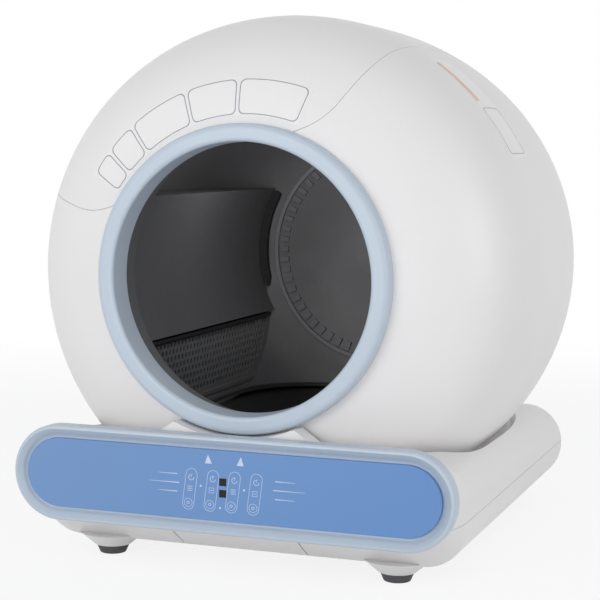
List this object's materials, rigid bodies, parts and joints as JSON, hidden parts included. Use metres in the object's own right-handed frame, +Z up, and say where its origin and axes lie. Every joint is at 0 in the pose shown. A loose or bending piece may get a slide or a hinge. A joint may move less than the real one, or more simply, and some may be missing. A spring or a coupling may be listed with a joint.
{
  "type": "self cleaning litter box",
  "caption": "Self-cleaning litter box: a dark drum with septum and sifter turns inside a fixed ball-shaped casing over a base with a dished-front waste drawer; top cover lifts off",
  "frame": {"origin": "centre of the bounding box in plan, on the floor under the feet", "axes": "+X to the object's right seen from its front, -Y towards its front, +Z up"},
  "size_m": [0.524, 0.562, 0.5488],
  "materials": {
    "white_shell": "fine satin moulding",
    "pale_blue": "satin moulding",
    "panel_blue": "satin moulding",
    "dark_grey": "fine-grained moulding",
    "black_plastic": "moulded",
    "felt": "pressed felt",
    "gear_plastic": "natural acetal",
    "bracket_plastic": "moulded",
    "steel": "zinc-plated",
    "display": "dark tinted window",
    "board": "circuit board",
    "contact_metal": "plated contacts",
    "foot_rubber": "moulded rubber"
  },
  "bodies": {
    "base": {"base_lower_tray": "white_shell", "base_upper_shell": "white_shell", "casing_shell": "white_shell", "entry_ring": "pale_blue", "throat_felt": "felt", "gear_motor": "steel", "motor_bracket": "steel", "front_roller_bracket_left": "bracket_plastic", "front_roller_bracket_right": "bracket_plastic", "rear_roller_post_left": "bracket_plastic", "rear_roller_post_right": "bracket_plastic", "roller_axles_left": "steel", "roller_axles_right": "steel", "drawer_runner_left": "black_plastic", "drawer_runner_right": "black_plastic", "contact_block": "black_plastic", "contact_pins": "contact_metal", "foot_front_left": "foot_rubber", "foot_front_right": "foot_rubber", "foot_rear_left": "foot_rubber", "foot_rear_right": "foot_rubber", "load_cells": "steel", "main_board": "board", "dc_inlet": "black_plastic", "position_sensor": "black_plastic", "base_screws": "steel", "casing_screws": "steel", "ring_screws": "steel"},
    "cover": {"top_cover": "white_shell"},
    "drum": {"drum_neck": "dark_grey", "drum_front_shell": "dark_grey", "drum_rear_shell": "dark_grey", "ring_gear": "gear_plastic", "septum_panel": "dark_grey", "sifter_grille": "dark_grey", "septum_strip": "black_plastic", "litter_liner": "black_plastic", "drum_magnets": "steel", "drum_screws": "steel", "septum_screws": "black_plastic"},
    "pinion": {"drive_pinion": "gear_plastic", "motor_shaft": "steel"},
    "roller_front_left": {"front_roller_left": "gear_plastic"},
    "roller_front_right": {"front_roller_right": "gear_plastic"},
    "roller_rear_left": {"rear_roller_left": "gear_plastic"},
    "roller_rear_right": {"rear_roller_right": "gear_plastic"},
    "drawer": {"waste_tray": "bracket_plastic", "drawer_chin": "white_shell", "drawer_front": "pale_blue", "control_panel": "panel_blue", "display_lenses": "display", "touch_board": "board", "contact_pads": "contact_metal", "drawer_screws": "steel"}
  },
  "joints": [
    {"name": "drum_spin", "type": "hinge", "parent": "base", "child": "drum", "pos_m": [0, 0, 0.2867], "axis": [0, 1, 0], "continuous": true},
    {"name": "pinion_spin", "type": "hinge", "parent": "base", "child": "pinion", "pos_m": [0, 0.165, 0.0541], "axis": [0, 1, 0], "continuous": true},
    {"name": "front_left_roller_spin", "type": "hinge", "parent": "base", "child": "roller_front_left", "pos_m": [-0.0769, -0.202, 0.15351], "axis": [0, 1, 0], "continuous": true},
    {"name": "front_right_roller_spin", "type": "hinge", "parent": "base", "child": "roller_front_right", "pos_m": [0.0769, -0.202, 0.15351], "axis": [0, 1, 0], "continuous": true},
    {"name": "rear_left_roller_spin", "type": "hinge", "parent": "base", "child": "roller_rear_left", "pos_m": [-0.11661, 0.189, 0.12017], "axis": [0, 1, 0], "continuous": true},
    {"name": "rear_right_roller_spin", "type": "hinge", "parent": "base", "child": "roller_rear_right", "pos_m": [0.11661, 0.189, 0.12017], "axis": [0, 1, 0], "continuous": true},
    {"name": "drawer_slide", "type": "slide", "parent": "base", "child": "drawer", "axis": [0, -1, 0], "range_m": [0, 0.36]},
    {"name": "cover_lift", "type": "slide", "parent": "base", "child": "cover", "axis": [-0.3665, 0, 0.9304], "range_m": [0, 0.15]}
  ],
  "couplings": [
    {"joint": "pinion_spin", "follows": "drum_spin", "ratio": -10.625},
    {"joint": "front_left_roller_spin", "follows": "drum_spin", "ratio": -12.955},
    {"joint": "front_right_roller_spin", "follows": "drum_spin", "ratio": -12.955},
    {"joint": "rear_left_roller_spin", "follows": "drum_spin", "ratio": -17.455},
    {"joint": "rear_right_roller_spin", "follows": "drum_spin", "ratio": -17.455}
  ]
}
